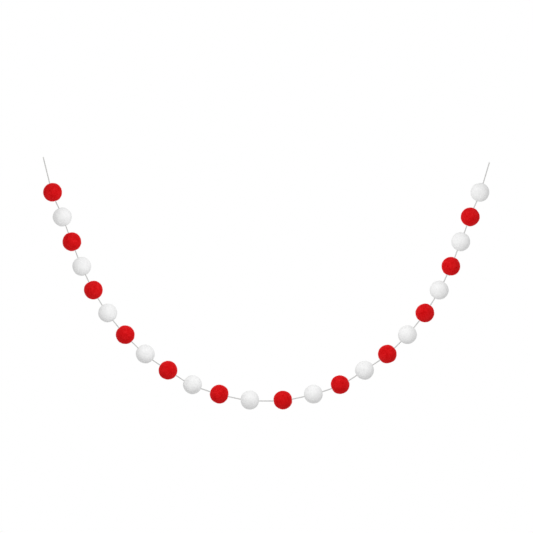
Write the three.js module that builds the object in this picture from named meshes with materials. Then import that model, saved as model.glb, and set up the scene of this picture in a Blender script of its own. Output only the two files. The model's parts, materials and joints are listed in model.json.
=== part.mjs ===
import * as THREE from 'three';

// Felt ball garland: felt balls of two colours, threaded in turn on one string
// that hangs in a deep swag between its two cut ends.
// Millimetres, +Z up, +X to the right along the swag, which lies in the XZ plane.
// The origin is the tip of the string's left end.

// Felt balls
const BALL_DIAMETER = 20;
const DIMPLE_DIAMETER = 4.4; // where the string draws the felt in
const DIMPLE_DEPTH = 0.6;
const BALL_SIDES = 14; // facets around the string
const BALL_BANDS = 8; // facets from one dimple to the other

// String
const STRING_DIAMETER = 1.3;
const STRING_SIDES = 8;
const STRING_CLEARANCE = 0.35; // from the string to the wall of its hole in a ball

// One half of the swag from its lowest point outwards, the same on both sides, with a row for each ball.
// pitch is the distance from the ball before, or for the first from the lowest point.
// slope is how steeply the string climbs over that distance, in degrees.
const MIDDLE_STRETCH = 35.5;
const HALF_SWAG = [
  { pitch: MIDDLE_STRETCH / 2, slope: 0 },
  { pitch: 33.5, slope: 11 },
  { pitch: 30.5, slope: 19.5 },
  { pitch: 30.5, slope: 30.5 },
  { pitch: 30, slope: 35.5 },
  { pitch: 30, slope: 44 },
  { pitch: 30, slope: 51 },
  { pitch: 29, slope: 58 },
  { pitch: 28.5, slope: 64 },
  { pitch: 28.5, slope: 68 },
  { pitch: 28.5, slope: 69 },
  { pitch: 28.5, slope: 68.5 },
];

// From the centre of the last ball on each side to the tip of the string
const LEFT_END = { pitch: 39, slope: 75 };
const RIGHT_END = { pitch: 33.5, slope: 72.5 };

// Finishes
const FELTS = [
  { name: 'red', colour: 0xcd1419 },
  { name: 'white', colour: 0xf0efed },
];
const FELT_ROUGHNESS = 0.95;
const STRING_COLOUR = 0xdcdad5;
const STRING_ROUGHNESS = 0.85;

// The step over one row of the swag, outwards to the right or, with side -1, to the left.
function step({ pitch, slope }, side) {
  const angle = THREE.MathUtils.degToRad(slope);
  return new THREE.Vector3(side * pitch * Math.cos(angle), 0, pitch * Math.sin(angle));
}

// The ball centres of one side and the tip of the string, from the lowest point outwards.
function sideOfSwag(end, side) {
  const place = new THREE.Vector3();
  return [...HALF_SWAG, end].map((row) => place.add(step(row, side)).clone());
}

// The whole swag from left to right, moved so that the left tip is the origin.
function layOutSwag() {
  const left = sideOfSwag(LEFT_END, -1).reverse();
  const right = sideOfSwag(RIGHT_END, 1);
  const origin = left[0].clone();
  return [...left, ...right].map((point) => point.sub(origin));
}

// The direction of the hole through a ball, halfway between the string's slopes on its two sides.
function holeDirection(before, centre, after) {
  const coming = centre.clone().sub(before).normalize();
  const going = after.clone().sub(centre).normalize();
  return coming.add(going).normalize();
}

// A ball turned about its hole: the hole's wall, a dimple, the round outside and the other dimple.
function ballGeometry() {
  const radius = BALL_DIAMETER / 2;
  const holeRadius = STRING_DIAMETER / 2 + STRING_CLEARANCE;
  const rimAngle = Math.asin(DIMPLE_DIAMETER / BALL_DIAMETER);
  const holeEnd = radius * Math.cos(rimAngle) - DIMPLE_DEPTH;
  const profile = [new THREE.Vector2(holeRadius, holeEnd), new THREE.Vector2(holeRadius, -holeEnd)];
  for (let band = 0; band <= BALL_BANDS; band += 1) {
    const angle = THREE.MathUtils.lerp(Math.PI - rimAngle, rimAngle, band / BALL_BANDS);
    profile.push(new THREE.Vector2(radius * Math.sin(angle), radius * Math.cos(angle)));
  }
  profile.push(profile[0].clone());
  return new THREE.LatheGeometry(profile, BALL_SIDES);
}

function makeBall(name, colour, centre, direction) {
  const material = new THREE.MeshStandardMaterial({ color: colour, roughness: FELT_ROUGHNESS, metalness: 0 });
  const ball = new THREE.Mesh(ballGeometry(), material);
  ball.name = name;
  ball.position.copy(centre);
  ball.quaternion.setFromUnitVectors(new THREE.Vector3(0, 1, 0), direction);
  return ball;
}

// A taut route, straight from point to point. It is measured in stretches, not in length,
// so that steps counted by stretches end on the bends.
class TautRoute extends THREE.Curve {
  constructor(points) {
    super();
    this.points = points;
  }

  getPoint(t, target = new THREE.Vector3()) {
    const last = this.points.length - 1;
    const stretch = Math.min(Math.floor(t * last), last - 1);
    return target.lerpVectors(this.points[stretch], this.points[stretch + 1], t * last - stretch);
  }

  getUtoTmapping(u) {
    return u;
  }
}

function stringSection() {
  const corners = [];
  for (let side = 0; side < STRING_SIDES; side += 1) {
    const angle = (2 * Math.PI * side) / STRING_SIDES;
    corners.push(new THREE.Vector2(Math.cos(angle), Math.sin(angle)).multiplyScalar(STRING_DIAMETER / 2));
  }
  return new THREE.Shape(corners);
}

// One string from tip to tip, straight through every ball and bent where it leaves the felt.
function makeString(leftTip, threadings, rightTip) {
  const points = [leftTip];
  for (const { centre, direction } of threadings) {
    points.push(centre.clone().addScaledVector(direction, -BALL_DIAMETER / 2));
    points.push(centre.clone().addScaledVector(direction, BALL_DIAMETER / 2));
  }
  points.push(rightTip);
  const geometry = new THREE.ExtrudeGeometry(stringSection(), {
    steps: points.length - 1,
    extrudePath: new TautRoute(points),
  });
  const material = new THREE.MeshStandardMaterial({
    color: STRING_COLOUR,
    roughness: STRING_ROUGHNESS,
    metalness: 0,
  });
  const string = new THREE.Mesh(geometry, material);
  string.name = 'string';
  return string;
}

function makeGarland() {
  const swag = layOutSwag();
  const leftTip = swag.at(0);
  const rightTip = swag.at(-1);
  const threadings = swag.slice(1, -1).map((centre, index) => ({
    centre,
    direction: holeDirection(swag[index], centre, swag[index + 2]),
  }));

  const garland = new THREE.Group();
  garland.add(makeString(leftTip, threadings, rightTip));
  threadings.forEach(({ centre, direction }, index) => {
    const felt = FELTS[index % FELTS.length];
    const number = String(index + 1).padStart(2, '0');
    garland.add(makeBall(`ball_${number}_${felt.name}`, felt.colour, centre, direction));
  });
  return garland;
}

export default makeGarland();
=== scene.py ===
import json
import math

import bpy
import numpy as np
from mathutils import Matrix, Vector


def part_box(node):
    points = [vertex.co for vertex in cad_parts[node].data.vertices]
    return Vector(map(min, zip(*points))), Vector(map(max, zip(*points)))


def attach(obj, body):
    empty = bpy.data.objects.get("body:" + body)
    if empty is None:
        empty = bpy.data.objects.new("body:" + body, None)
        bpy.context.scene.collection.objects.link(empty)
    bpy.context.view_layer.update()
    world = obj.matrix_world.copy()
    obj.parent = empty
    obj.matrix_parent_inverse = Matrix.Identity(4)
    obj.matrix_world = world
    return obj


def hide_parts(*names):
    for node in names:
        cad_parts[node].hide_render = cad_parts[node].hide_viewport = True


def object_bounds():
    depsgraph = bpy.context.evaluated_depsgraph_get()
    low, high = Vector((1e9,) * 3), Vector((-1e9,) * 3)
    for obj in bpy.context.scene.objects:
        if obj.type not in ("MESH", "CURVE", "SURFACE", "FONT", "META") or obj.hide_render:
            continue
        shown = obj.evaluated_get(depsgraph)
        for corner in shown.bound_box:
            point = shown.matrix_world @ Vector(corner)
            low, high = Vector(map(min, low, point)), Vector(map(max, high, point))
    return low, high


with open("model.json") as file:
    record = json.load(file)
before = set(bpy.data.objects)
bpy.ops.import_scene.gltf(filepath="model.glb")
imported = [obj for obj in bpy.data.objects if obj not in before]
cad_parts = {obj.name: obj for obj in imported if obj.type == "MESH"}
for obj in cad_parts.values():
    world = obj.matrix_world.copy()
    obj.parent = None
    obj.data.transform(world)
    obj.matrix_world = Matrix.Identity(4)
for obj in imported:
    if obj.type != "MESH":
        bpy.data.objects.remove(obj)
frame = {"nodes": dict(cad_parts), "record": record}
cad_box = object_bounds()

MM = 0.001

# The picture: square, seen straight on, with the lowest point of the swag at this pixel
PICTURE_PX = 533
MM_PER_PX = 20 / 18.6
LOWEST_POINT_PX = (265.8, 399.55)
LENS_MM = 135
SENSOR_MM = 36

# Felt balls
BALL_RADIUS = 10 * MM
FELT_RISE = 0.05 * MM  # how far the felt stands outside the plain ball, on average
LUMP_LENGTH = 12 * MM
LUMP_HEIGHT = 0.09 * MM
TUFT_LENGTH = 1.7 * MM
TUFT_HEIGHT = 0.045 * MM
HOLE_RADIUS = 0.8 * MM
DIMPLE_WIDTH = 1.3 * MM
DIMPLE_DEPTH = 0.6 * MM
BALL_SIDES = 76
BALL_BANDS = 62
HOLE_BANDS = 3

# Fuzz: short fibres that lie low all over a ball
FUZZ_COUNT = 7000
FUZZ_LENGTH = (0.35 * MM, 0.9 * MM)
FUZZ_STAND = (0.04 * MM, 0.30 * MM)
FUZZ_WIDTH = 0.045 * MM
FUZZ_SUNK = 0.02 * MM
CLUMP_LENGTH = 3.2 * MM
CLUMP_COMBING = 0.6  # how far the fibres of a clump lie one way
CLUMP_STAND = 0.25  # how much a clump stands up more or less than the next, and the bounds of that
STAND_BOUNDS = (0.4, 1.6)
CLUMP_TONE = 0.2  # how much the tone differs from clump to clump and from fibre to fibre
FIBRE_TONE = 0.3
PAINTED_TIP_LIGHT_SHARE = 0.55  # how much of a fibre's colour comes from the place along it, as painted light that grows towards the tip, and not from its tone
TURN_JITTER = 0.6

# Fibres of the fuzz and of the string: their thickness against their width
FIBRE_FLATNESS = 0.15

# String: three twisted plies, with loose hairs and frayed ends
STRING_RADIUS = 0.7 * MM
PLY_COUNT = 3
PLY_RADIUS = 0.36 * MM
PLY_POINTS = 4
TWIST_LENGTH = 4.4 * MM
TWIST_STEPS = 8
BEND_LENGTH = 3 * MM
BEND_SAMPLES = 9
HAIR_COUNT = 340
HAIR_LENGTH = 0.7 * MM
HAIR_LENGTHS = (0.4, 1.2)  # shortest and longest, as parts of HAIR_LENGTH
HAIR_WIDTH = 0.014 * MM
HAIR_SUNK = 0.15 * MM
HAIR_STAND = (0.4, 1.0)
HAIR_SLANT = 0.7
FRAY_COUNT = 36
FRAY_LENGTH = 1.6 * MM
FRAY_LENGTHS = (0.3, 1.0)  # shortest and longest, as parts of FRAY_LENGTH
FRAY_REACH = 0.8 * STRING_RADIUS
FRAY_SPREAD = (-0.1, 0.45)

# Mottling of the felt and of the string: the length of its patches, how strongly each kind shows in the tone
# about a mean tone, and the height of the bump
PATCH_LENGTH = 5 * MM
SHADE_LENGTH = 0.75 * MM
TANGLE_LENGTH = 0.32 * MM
STRAND_LENGTHS = (0.6 * MM, 0.42 * MM)
STRAND_SHARPNESS = 14
PATCH_TONE = 0.6
SHADE_TONE = 1.0
TANGLE_TONE = 1.2
STRAND_TONE = 0.22
FELT_TONE = 0.35
FELT_RELIEF = 0.14 * MM
GREY_LENGTH = 6 * MM
COTTON_LENGTH = 0.16 * MM
GREY_TONE = 0.8
COTTON_TONE = 0.9
STRING_TONE = 0.6
COTTON_RELIEF = 0.08 * MM

# The two wools: colours from the depth of the felt to its lightest fibres, and the soft light on its fuzz.
# The lightest colour also serves as painted light on the tips of the fuzz
WOOLS = {
    "red": {
        "deep": (0.34, 0.0003, 0.0008),
        "body": (0.56, 0.0025, 0.0038),
        "bright": (0.83, 0.028, 0.032),
        "sheen": 1.0,
        "sheen_tint": (1.0, 0.04, 0.045),
    },
    "white": {
        "deep": (0.67, 0.67, 0.67),
        "body": (0.80, 0.80, 0.80),
        "bright": (0.91, 0.91, 0.91),
        "sheen": 0.15,
        "sheen_tint": (1.0, 1.0, 1.0),
    },
}
STRING_COLOURS = {"groove": (0.42, 0.417, 0.41), "ply": (0.64, 0.637, 0.63)}

# Rows of a ball's map, from bottom to top: the outside, the wall of the hole and the fuzz
OUTSIDE_ROWS = (0.02, 0.83)
HOLE_TOP_ROW = 0.865
FUZZ_ROWS = (0.89, 0.985)
FUZZ_COLUMNS = (0.03, 0.97)
FIBRE_MAP_WIDTH = 0.006
MAP_EDGE = 0.01

# The string's map holds it in this many rows, with its ends and hairs in one more
STRING_ROWS = 24
ROW_MARGIN = 0.08
END_SPOTS = ((0.1, 0.98), (0.2, 0.98))
END_SPOT_RADIUS = 0.012
HAIR_SPOT = (0.4, 0.97)
HAIR_SPOT_SIZE = (0.05, 0.02)

# Stage, in metres and watts: the floor, the room's light with how much stronger it is straight from above,
# and the lamps with their places from the point that the camera aims at
FLOOR_BELOW = 0.48
FLOOR_RADIUS = 1.5
FLOOR_SOLID_RADIUS = 0.5
FLOOR_SIDES = 96
GLOW_MEAN = 0.784
GLOW_SLOPE = 0.116
LAMPS = {
    "key": {"offset": (0.0, -0.3, 0.0875), "size": 0.25, "power": 0.634},
    "back": {"offset": (0.0, 0.6, 0.15), "size": 0.4, "power": 0.5},
}


def unit(vectors):
    return vectors / np.linalg.norm(vectors, axis=-1, keepdims=True)


# The swag, read from the frame: the string's left end, the ball centres and its right end


def middle_of(node):
    low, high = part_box(node)
    return np.array((low + high) / 2)


def end_of_string(name):
    mount = next(m for m in frame["record"]["mounts"] if m["name"] == name)
    return np.array(mount["pos_m"], float)


BALL_NODES = sorted(name for name in frame["nodes"] if name.startswith("ball_"))
swag = np.array([end_of_string("left_end"), *map(middle_of, BALL_NODES), end_of_string("right_end")])
centres = swag[1:-1]
stretches = unit(np.diff(swag, axis=0))
hole_ways = unit(stretches[:-1] + stretches[1:])


# Camera


def make_camera():
    """Straight on, with the lowest point of the swag at its pixel. Gives the point that it aims at."""
    lowest = (centres[len(centres) // 2 - 1] + centres[len(centres) // 2]) / 2
    middle_px = (PICTURE_PX - 1) / 2
    aim = Vector((
        lowest[0] + (middle_px - LOWEST_POINT_PX[0]) * MM_PER_PX * MM,
        lowest[1],
        lowest[2] + (LOWEST_POINT_PX[1] - middle_px) * MM_PER_PX * MM,
    ))
    data = bpy.data.cameras.new("camera")
    data.lens = LENS_MM
    data.sensor_width = SENSOR_MM
    camera = bpy.data.objects.new("camera", data)
    distance = PICTURE_PX * MM_PER_PX * MM * LENS_MM / SENSOR_MM
    camera.location = aim - Vector((0, distance, 0))
    camera.rotation_euler = (math.pi / 2, 0, 0)
    bpy.context.scene.collection.objects.link(camera)
    bpy.context.scene.camera = camera
    return aim


# Finishes


class Paint:
    """An output socket of a node tree. Arithmetic on it adds Math nodes, and node() adds any other node."""

    def __init__(self, tree, socket=None):
        self.tree = tree
        self.socket = socket

    def node(self, kind, settings=None, inputs=None, output=0):
        made = self.tree.nodes.new(kind)
        for name, value in (settings or {}).items():
            if name == "stops":
                self.set_stops(made.color_ramp, value)
            else:
                setattr(made, name, value)
        for name, value in (inputs or {}).items():
            if isinstance(value, Paint):
                self.tree.links.new(value.socket, made.inputs[name])
            else:
                made.inputs[name].default_value = value
        return Paint(self.tree, made.outputs[output] if made.outputs else None)

    @staticmethod
    def set_stops(ramp, stops):
        while len(ramp.elements) < len(stops):
            ramp.elements.new(1)
        for element, (place, colour) in zip(ramp.elements, stops, strict=True):
            element.position = place
            element.color = (*colour, 1)

    def maths(self, operation, *values, clamp=False):
        settings = {"operation": operation, "use_clamp": clamp}
        return self.node("ShaderNodeMath", settings, dict(enumerate(values)))

    def __add__(self, other):
        return self.maths("ADD", self, other)

    __radd__ = __add__

    def __sub__(self, other):
        return self.maths("SUBTRACT", self, other)

    def __rsub__(self, other):
        return self.maths("SUBTRACT", other, self)

    def __mul__(self, other):
        return self.maths("MULTIPLY", self, other)

    __rmul__ = __mul__

    def held(self):
        """The value kept between 0 and 1."""
        return self.maths("ADD", self, 0.0, clamp=True)

    def blend(self, low, high):
        """A colour from low to high as the value goes from 0 to 1."""
        settings = {"data_type": "RGBA", "clamp_factor": True}
        return self.node("ShaderNodeMix", settings, {0: self, 6: (*low, 1), 7: (*high, 1)}, output=2)

    def noise(self, length, detail=2.0, roughness=0.55, distortion=0.0):
        """Noise of about this length in metres, read at the coordinates that the socket holds."""
        inputs = {
            "Vector": self,
            "Scale": 1 / length,
            "Detail": detail,
            "Roughness": roughness,
            "Distortion": distortion,
        }
        return self.node("ShaderNodeTexNoise", None, inputs)

    def strands(self, length):
        """Thin winding lines about this far apart: 1 along a line and 0 away from it."""
        off_line = self.noise(length, detail=1.0, distortion=1.2) - 0.5
        return (1 - off_line.maths("ABSOLUTE", off_line) * STRAND_SHARPNESS).held()

    def bump(self, height, strength):
        """A normal that follows the value, this many metres high."""
        inputs = {"Strength": strength, "Distance": height, "Height": self}
        return self.node("ShaderNodeBump", None, inputs)


def new_finish(name):
    """A material with an empty node tree: the material, and a Paint to build its nodes with."""
    material = bpy.data.materials.new(name)
    material.use_nodes = True
    material.node_tree.nodes.clear()
    return material, Paint(material.node_tree)


def cover(paint, inputs):
    """Ends a material: one Principled surface with these inputs."""
    surface = paint.node("ShaderNodeBsdfPrincipled", None, inputs)
    paint.node("ShaderNodeOutputMaterial", None, {"Surface": surface})


def matte_wool(wool):
    """What the felt and its fuzz have alike: no gloss, and a soft light at grazing angles."""
    return {
        "Specular IOR Level": 0.02,
        "Sheen Weight": wool["sheen"],
        "Sheen Roughness": 0.45,
        "Sheen Tint": (*wool["sheen_tint"], 1),
    }


def felt(name, wool):
    """Matted wool: a fine tangle of strands in the colour and the bump, mottled in tufts and patches."""
    material, paint = new_finish(name)
    place = paint.node("ShaderNodeTexCoord", output=3)
    patches = place.noise(PATCH_LENGTH)
    tufts = place.noise(SHADE_LENGTH, distortion=0.5)
    tangle = place.noise(TANGLE_LENGTH, detail=3, roughness=0.65, distortion=2.2)
    strands = place.strands(STRAND_LENGTHS[0]) + place.strands(STRAND_LENGTHS[1])
    mottling = (patches - 0.5) * PATCH_TONE + (tufts - 0.5) * SHADE_TONE + (tangle - 0.5) * TANGLE_TONE
    tone = mottling + strands * STRAND_TONE + FELT_TONE
    stops = [(0, wool["deep"]), (0.5, wool["body"]), (1, wool["bright"])]
    cover(paint, {
        "Base Color": paint.node("ShaderNodeValToRGB", {"stops": stops}, {0: tone}),
        "Roughness": (tufts - 0.5) * 0.15 + 0.92,
        "Normal": (tufts * 0.4 + tangle * 0.4 + strands * 0.2).bump(FELT_RELIEF, 0.5),
        **matte_wool(wool),
    })
    return material


def fuzz(name, wool):
    """Loose fibres with painted light: lighter towards their tips, where their fine ends catch the light.
    Each has a tone of its own.
    """
    material, paint = new_finish(name)
    tone = paint.node("ShaderNodeAttribute", {"attribute_name": "tone"}, output=2)
    along = paint.node("ShaderNodeAttribute", {"attribute_name": "along"}, output=2)
    # Painted light: each fibre's colour grows lighter from root to tip, mixed with its own tone.
    cover(paint, {
        "Base Color": (along * PAINTED_TIP_LIGHT_SHARE + tone * (1 - PAINTED_TIP_LIGHT_SHARE)).held().blend(wool["body"], wool["bright"]),
        "Roughness": 0.92,
        **matte_wool(wool),
    })
    return material


def cotton(name, colours):
    """Twisted cotton: off-white, greyer in patches, with fine fibres in the bump."""
    material, paint = new_finish(name)
    place = paint.node("ShaderNodeTexCoord", output=3)
    patches = place.noise(GREY_LENGTH)
    strands = place.noise(COTTON_LENGTH, roughness=0.6, distortion=0.8)
    tone = (patches - 0.5) * GREY_TONE + (strands - 0.5) * COTTON_TONE + STRING_TONE
    cover(paint, {
        "Base Color": tone.held().blend(colours["groove"], colours["ply"]),
        "Roughness": (strands - 0.5) * 0.2 + 0.85,
        "Normal": strands.bump(COTTON_RELIEF, 0.4),
        "Specular IOR Level": 0.2,
    })
    return material


# Shapes


def new_piece(name, points, faces, uv, finishes, face_finishes, values=None, facing=None):
    """A mesh piece from arrays. faces is a list of arrays of point numbers, each with one number of corners,
    and uv has a row for each corner. values are named numbers on the points. facing is the way in which
    the last corners are shaded, where that isn't their own."""
    corners = np.concatenate([f.ravel() for f in faces])
    sizes = np.concatenate([np.full(len(f), f.shape[1]) for f in faces])
    mesh = bpy.data.meshes.new(name)
    mesh.vertices.add(len(points))
    mesh.vertices.foreach_set("co", points.astype(np.float32).ravel())
    mesh.loops.add(len(corners))
    mesh.loops.foreach_set("vertex_index", corners.astype(np.int32))
    mesh.polygons.add(len(sizes))
    mesh.polygons.foreach_set("loop_start", (np.cumsum(sizes) - sizes).astype(np.int32))
    for finish in finishes:
        mesh.materials.append(finish)
    mesh.polygons.foreach_set("material_index", np.asarray(face_finishes, np.int32))
    mesh.update(calc_edges=True)
    mesh.uv_layers.new(name="OFBake").uv.foreach_set("vector", uv.astype(np.float32).ravel())
    for key, numbers in (values or {}).items():
        mesh.attributes.new(key, "FLOAT", "POINT").data.foreach_set("value", numbers.astype(np.float32))
    mesh.shade_smooth()
    if facing is not None:
        normals = np.zeros(3 * len(corners), np.float32)
        mesh.corner_normals.foreach_get("vector", normals)
        normals = normals.reshape(-1, 3)
        normals[-len(facing):] = facing
        mesh.normals_split_custom_set(normals)
    piece = bpy.data.objects.new(name, mesh)
    bpy.context.scene.collection.objects.link(piece)
    return piece


def waves(rng, length, count=24):
    """A smooth uneven field in space, mostly from -2 to 2, whose hills are about half of length apart."""
    ways = unit(rng.normal(size=(count, 3)))
    ways *= 2 * math.pi / (length * rng.uniform(0.7, 1.4, (count, 1)))
    starts = rng.uniform(0, 2 * math.pi, count)
    return lambda points: np.sin(points @ ways.T + starts).sum(-1) * math.sqrt(2 / count)


def across(ways):
    """Two unit vectors across each direction."""
    helper = np.where(np.abs(ways[..., 1:2]) < 0.9, (0.0, 1.0, 0.0), (1.0, 0.0, 0.0))
    first = unit(np.cross(ways, helper))
    return first, np.cross(ways, first)


def around(turn, first, second):
    """Unit vectors at these angles from first towards second."""
    return np.cos(turn)[..., None] * first + np.sin(turn)[..., None] * second


def tube_faces(bands, rings, sides):
    """Faces of four corners between rings of points, and the band and side of each. After the last ring
    comes the first."""
    band, side = (n.ravel() for n in np.indices((bands, sides)))
    here = band * sides
    there = (band + 1) % rings * sides
    after = (side + 1) % sides
    return np.stack([here + side, there + side, there + after, here + after], axis=1), band, side


def fibres(roots, tips, outwards, width):
    """Flat pointed fibres with closed roots: points, four to a fibre with the tip last, and faces."""
    along = tips - roots
    side = unit(np.cross(outwards, along)) * width
    rise = unit(np.cross(along, side)) * width * FIBRE_FLATNESS
    points = np.stack([roots - side, roots + side, roots + rise, tips], axis=1)
    corners = np.array([(0, 2, 1), (0, 1, 3), (1, 2, 3), (2, 0, 3)])
    faces = 4 * np.arange(len(roots))[:, None, None] + corners
    return points.reshape(-1, 3), faces.reshape(-1, 3)


# A fibre's points on the map, and the way in which its faces are shaded: the root and the underside into
# the ball, and the two upper sides out of it
FIBRE_MAP = np.array([(-1.0, 0.0), (1.0, 0.0), (0.0, 0.15), (0.0, 1.0)])
FIBRE_SHADING = np.array([-1.0, -1.0, 1.0, 1.0])


# Felt balls


def ball_surface(rng, way):
    """The outside of a felt ball about its own centre: a function from directions to points."""
    lumps = waves(rng, LUMP_LENGTH)
    tufts = waves(rng, TUFT_LENGTH, count=40)

    def surface(directions):
        base = directions * (BALL_RADIUS + FELT_RISE)
        from_hole = np.linalg.norm(np.cross(base, way), axis=-1)
        dimple = DIMPLE_DEPTH * np.exp(-((from_hole / DIMPLE_WIDTH) ** 2))
        height = LUMP_HEIGHT * lumps(base) + TUFT_HEIGHT * tufts(base) - dimple
        return base + directions * height[..., None]

    return surface


def ball_body(surface, way):
    """The ball with the hole through it: points, faces of four corners and their places on the map."""
    rim = math.asin(HOLE_RADIUS / BALL_RADIUS)
    tilt = np.linspace(rim, math.pi - rim, BALL_BANDS + 1)
    turn = 2 * math.pi * np.arange(BALL_SIDES) / BALL_SIDES
    outside = surface(around(tilt[:, None], way, around(turn, *across(way))))
    share = (np.arange(1, HOLE_BANDS) / HOLE_BANDS)[:, None, None]
    hole = outside[-1] * (1 - share) + outside[0] * share
    rings = np.concatenate([outside, hole])
    faces, band, side = tube_faces(len(rings), len(rings), BALL_SIDES)
    # Equal areas of the outside have equal areas on the map.
    low, high = OUTSIDE_ROWS
    up = low + (high - low) * (1 - np.cos(tilt)) / 2
    up = np.concatenate([up, np.linspace(high, HOLE_TOP_ROW, HOLE_BANDS + 1)[1:]])
    v = np.stack([up[band], up[band + 1], up[band + 1], up[band]], axis=1)
    u = np.stack([side, side, side + 1, side + 1], axis=1) / BALL_SIDES
    uv = np.stack([MAP_EDGE + (1 - 2 * MAP_EDGE) * u, v], axis=2)
    return rings.reshape(-1, 3), faces, uv.reshape(-1, 2)


def scattered(rng, count, way, least):
    """Directions spread evenly but not in rows, none within the angle least of the string."""
    step = (np.arange(count) + 0.5 + rng.uniform(-0.5, 0.5, count)) / count
    tilt = np.arccos((1 - 2 * step) * math.cos(least))
    turn = np.arange(count) * math.pi * (3 - math.sqrt(5)) + rng.uniform(-TURN_JITTER, TURN_JITTER, count)
    return around(tilt, way, around(turn, *across(way)))


def lay_of_fuzz(rng, directions):
    """Which way over the surface the fibres at these places lie: combed in clumps and partly at random."""
    combed = np.stack([waves(rng, CLUMP_LENGTH)(directions * BALL_RADIUS) for _ in range(3)], axis=1)
    lean = CLUMP_COMBING * combed + rng.normal(size=directions.shape)
    lean -= (lean * directions).sum(1, keepdims=True) * directions
    return unit(lean)


def ball_fuzz(rng, surface, way):
    """Short fibres: points, faces, and the tone of each fibre."""
    directions = scattered(rng, FUZZ_COUNT, way, 2 * HOLE_RADIUS / BALL_RADIUS)
    roots = surface(directions) - directions * FUZZ_SUNK
    patchy = waves(rng, CLUMP_LENGTH)(roots)[:, None]
    reach = rng.uniform(*FUZZ_LENGTH, (FUZZ_COUNT, 1))
    stand = rng.uniform(*FUZZ_STAND, (FUZZ_COUNT, 1)) * (1 + CLUMP_STAND * patchy).clip(*STAND_BOUNDS)
    tips = roots + directions * (FUZZ_SUNK + stand) + lay_of_fuzz(rng, directions) * reach
    points, faces = fibres(roots, tips, directions, FUZZ_WIDTH)
    tone = 0.5 + CLUMP_TONE * patchy[:, 0] + rng.uniform(-FIBRE_TONE, FIBRE_TONE, FUZZ_COUNT)
    return points, faces, tone.clip(0, 1)


def map_of_fuzz(faces, tone):
    """Fibres share one strip of the map, across it by tone and up it from root to tip."""
    left, right = FUZZ_COLUMNS
    low, high = FUZZ_ROWS
    u = left + (right - left) * tone[:, None] + FIBRE_MAP_WIDTH * FIBRE_MAP[:, 0]
    v = low + (high - low) * np.tile(FIBRE_MAP[:, 1], (len(tone), 1))
    return np.stack([u.ravel(), v.ravel()], axis=1)[faces.ravel()]


def shading_of_fuzz(points, faces):
    """The way in which each corner of the fibres is shaded, which is that of the ball under them."""
    corners = faces.reshape(-1, len(FIBRE_SHADING), 3)
    return (unit(points)[corners] * FIBRE_SHADING[:, None, None]).reshape(-1, 3)


def make_ball(number, node):
    """One felt ball in place of its node."""
    rng = np.random.default_rng(number)
    way = hole_ways[number]
    surface = ball_surface(rng, way)
    points, body_faces, body_uv = ball_body(surface, way)
    fuzz_points, fuzz_faces, tone = ball_fuzz(rng, surface, way)
    bare = np.zeros(len(points))
    colour = node.rsplit("_", 1)[1]
    ball = new_piece(
        "felt_" + node,
        np.concatenate([points, fuzz_points]) + centres[number],
        [body_faces, fuzz_faces + len(points)],
        np.concatenate([body_uv, map_of_fuzz(fuzz_faces, tone)]),
        FELT_FINISHES[colour],
        np.repeat((0, 1), (len(body_faces), len(fuzz_faces))),
        {
            "tone": np.concatenate([bare, np.repeat(tone, len(FIBRE_MAP))]),
            "along": np.concatenate([bare, np.tile(FIBRE_MAP[:, 1], FUZZ_COUNT)]),
        },
        facing=shading_of_fuzz(fuzz_points, fuzz_faces),
    )
    ball.visible_diffuse = False  # so that the red balls don't tinge the white ones
    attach(ball, "root")
    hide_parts(node)
    colour + "_felt"
    return ball


# String


def string_route():
    """The middle of the string: straight through each ball and from ball to ball, with small round bends."""
    through = np.stack([centres - hole_ways * BALL_RADIUS, centres + hole_ways * BALL_RADIUS], axis=1)
    corners = np.concatenate([swag[:1], through.reshape(-1, 3), swag[-1:]])
    along = np.concatenate([[0], np.cumsum(np.linalg.norm(np.diff(corners, axis=0), axis=1))])
    at = np.linspace(0, along[-1], round(along[-1] / TWIST_LENGTH * TWIST_STEPS) + 1)

    def place(s):
        return np.stack([np.interp(s, along, corners[:, k]) for k in range(3)], axis=1)

    reach = np.minimum(BEND_LENGTH / 2, np.minimum(at, along[-1] - at))
    return np.mean([place(at + k * reach) for k in np.linspace(-1, 1, BEND_SAMPLES)], axis=0)


def ply_outline():
    """The outline of the plies lying together: distances from the middle, at even turns from one groove."""
    offset = STRING_RADIUS - PLY_RADIUS
    turn = (np.arange(PLY_POINTS) / PLY_POINTS - 0.5) * 2 * math.pi / PLY_COUNT
    reach = offset * np.cos(turn) + np.sqrt(np.maximum(PLY_RADIUS**2 - (offset * np.sin(turn)) ** 2, 0))
    return np.tile(reach, PLY_COUNT)


def string_body(route, first, second):
    """The twisted plies as one tube with closed ends: points, sides, ends and their places on the map."""
    outline = ply_outline()
    sides = len(outline)
    start = 2 * math.pi * np.arange(sides) / sides
    turn = 2 * math.pi * np.arange(len(route))[:, None] / TWIST_STEPS + start
    points = route[:, None] + around(turn, first[:, None], second[:, None]) * outline[:, None]
    faces, band, side = tube_faces(len(route) - 1, len(route), sides)
    ends = np.array([np.arange(sides)[::-1], np.arange(sides) + (len(route) - 1) * sides])
    per_row = math.ceil((len(route) - 1) / STRING_ROWS)
    row, column = np.divmod(band, per_row)
    u = np.stack([column, column + 1, column + 1, column], axis=1) / per_row
    up = np.stack([side, side, side + 1, side + 1], axis=1) / sides
    v = (row[:, None] + ROW_MARGIN + (1 - 2 * ROW_MARGIN) * up) / (STRING_ROWS + 1)
    uv = np.stack([MAP_EDGE + (1 - 2 * MAP_EDGE) * u, v], axis=2)
    disc = END_SPOT_RADIUS * np.stack([np.cos(start), np.sin(start)], axis=1)
    end_uv = np.concatenate([disc + spot for spot in END_SPOTS])
    # Seen from outside, the corners go round the other way than on a ball.
    return points.reshape(-1, 3), faces[:, ::-1], ends, np.concatenate([uv[:, ::-1].reshape(-1, 2), end_uv])


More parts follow.
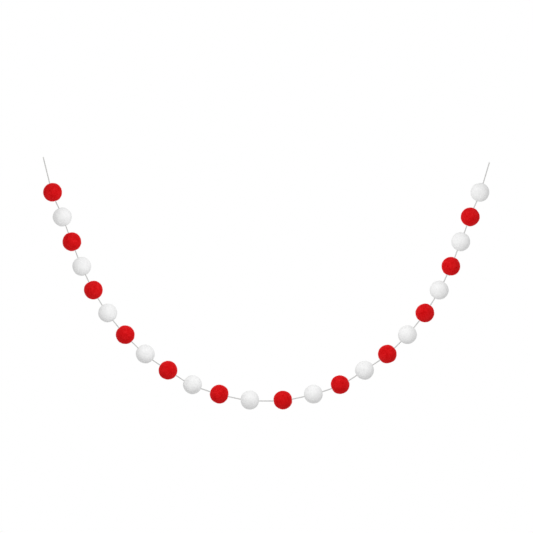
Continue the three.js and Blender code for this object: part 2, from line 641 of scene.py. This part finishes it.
def hairs(rng, route, ways, first, second):
    """Loose hairs along the string between the balls: roots, tips and the ways out of the string."""
    bare = np.linalg.norm(route[:, None] - centres, axis=2).min(axis=1) > BALL_RADIUS
    at = rng.choice(np.flatnonzero(bare), HAIR_COUNT)
    away = around(rng.uniform(0, 2 * math.pi, HAIR_COUNT), first[at], second[at])
    roots = route[at] + away * (STRING_RADIUS - HAIR_SUNK)
    stand = away * rng.uniform(*HAIR_STAND, (HAIR_COUNT, 1))
    lean = unit(stand + ways[at] * rng.normal(0, HAIR_SLANT, (HAIR_COUNT, 1)))
    return roots, roots + lean * HAIR_LENGTH * rng.uniform(*HAIR_LENGTHS, (HAIR_COUNT, 1)), away


def fray(rng, tip, outwards, first, second):
    """Fibres that stand out of a cut end: roots, tips and the ways out of the string."""
    spread = around(rng.uniform(0, 2 * math.pi, FRAY_COUNT), first, second)
    from_middle = FRAY_REACH * rng.uniform(0, 1, (FRAY_COUNT, 1))
    roots = tip + spread * from_middle - outwards * HAIR_SUNK
    lean = unit(outwards + spread * rng.uniform(*FRAY_SPREAD, (FRAY_COUNT, 1)))
    return roots, roots + lean * FRAY_LENGTH * rng.uniform(*FRAY_LENGTHS, (FRAY_COUNT, 1)), spread


def make_string(balls):
    """The string in place of its node, with the balls that are threaded on it."""
    rng = np.random.default_rng(len(balls))
    route = string_route()
    ways = unit(np.gradient(route, axis=0))
    first, second = across(ways)
    points, sides, ends, body_uv = string_body(route, first, second)
    loose = [
        hairs(rng, route, ways, first, second),
        fray(rng, route[0], -ways[0], first[0], second[0]),
        fray(rng, route[-1], ways[-1], first[-1], second[-1]),
    ]
    loose_points, loose_faces = fibres(*map(np.concatenate, zip(*loose, strict=True)), HAIR_WIDTH)
    hair_uv = (np.array(HAIR_SPOT) + FIBRE_MAP * HAIR_SPOT_SIZE)[loose_faces.ravel() % len(FIBRE_MAP)]
    string = new_piece(
        "garland_string",
        np.concatenate([points, loose_points]),
        [sides, ends, loose_faces + len(points)],
        np.concatenate([body_uv, hair_uv]),
        [cotton("string", STRING_COLOURS)],
        np.zeros(len(sides) + len(ends) + len(loose_faces)),
    )
    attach(string, "root")
    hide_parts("string")


# Stage: a pale floor well below the garland, a bright room and two soft lamps


def make_floor(aim):
    """A pale disc that thins out to nothing at its edge, so that it has no horizon."""
    material, paint = new_finish("floor")
    place = paint.node("ShaderNodeTexCoord", output=3)
    from_middle = paint.node("ShaderNodeVectorMath", {"operation": "LENGTH"}, {0: place}, output=1)
    cover(paint, {
        "Base Color": (0.8, 0.8, 0.8, 1),
        "Roughness": 0.9,
        "Specular IOR Level": 0.1,
        "Alpha": ((FLOOR_RADIUS - from_middle) * (1 / (FLOOR_RADIUS - FLOOR_SOLID_RADIUS))).held(),
    })
    turn = 2 * math.pi * np.arange(FLOOR_SIDES) / FLOOR_SIDES
    rim = around(turn, np.array((FLOOR_RADIUS, 0, 0)), np.array((0, FLOOR_RADIUS, 0)))
    mesh = bpy.data.meshes.new("floor")
    mesh.from_pydata(rim.tolist(), [], [list(range(FLOOR_SIDES))])
    mesh.materials.append(material)
    floor = bpy.data.objects.new("floor", mesh)
    floor.location = (aim.x, aim.y, cad_box[0].z - FLOOR_BELOW)
    bpy.context.scene.collection.objects.link(floor)


def make_room():
    """White all round to look at, and brighter from above than from below as light."""
    world = bpy.data.worlds.new("room")
    bpy.context.scene.world = world
    world.use_nodes = True
    world.node_tree.nodes.clear()
    paint = Paint(world.node_tree)
    way = paint.node("ShaderNodeTexCoord")
    height = paint.node("ShaderNodeSeparateXYZ", None, {0: way}, output=2)
    glow = height * GLOW_SLOPE + GLOW_MEAN
    seen = paint.node("ShaderNodeLightPath")
    strength = glow + seen * (1 - glow)
    light = paint.node("ShaderNodeBackground", None, {"Color": (1, 1, 1, 1), "Strength": strength})
    paint.node("ShaderNodeOutputWorld", None, {"Surface": light})


def make_lamp(name, aim, offset, size, power):
    data = bpy.data.lights.new(name, "AREA")
    data.shape = "DISK"
    data.size = size
    data.energy = power
    lamp = bpy.data.objects.new(name, data)
    lamp.location = aim + Vector(offset)
    lamp.rotation_euler = Vector((0, -offset[1], 0)).to_track_quat("-Z", "Z").to_euler()
    bpy.context.scene.collection.objects.link(lamp)


aim = make_camera()
FELT_FINISHES = {
    colour: [felt(colour + "_felt", wool), fuzz(colour + "_fuzz", wool)] for colour, wool in WOOLS.items()
}
make_string([make_ball(number, node) for number, node in enumerate(BALL_NODES)])
make_floor(aim)
make_room()
for name, lamp in LAMPS.items():
    make_lamp(name, aim, **lamp)
bpy.context.scene.view_settings.view_transform = "Standard"
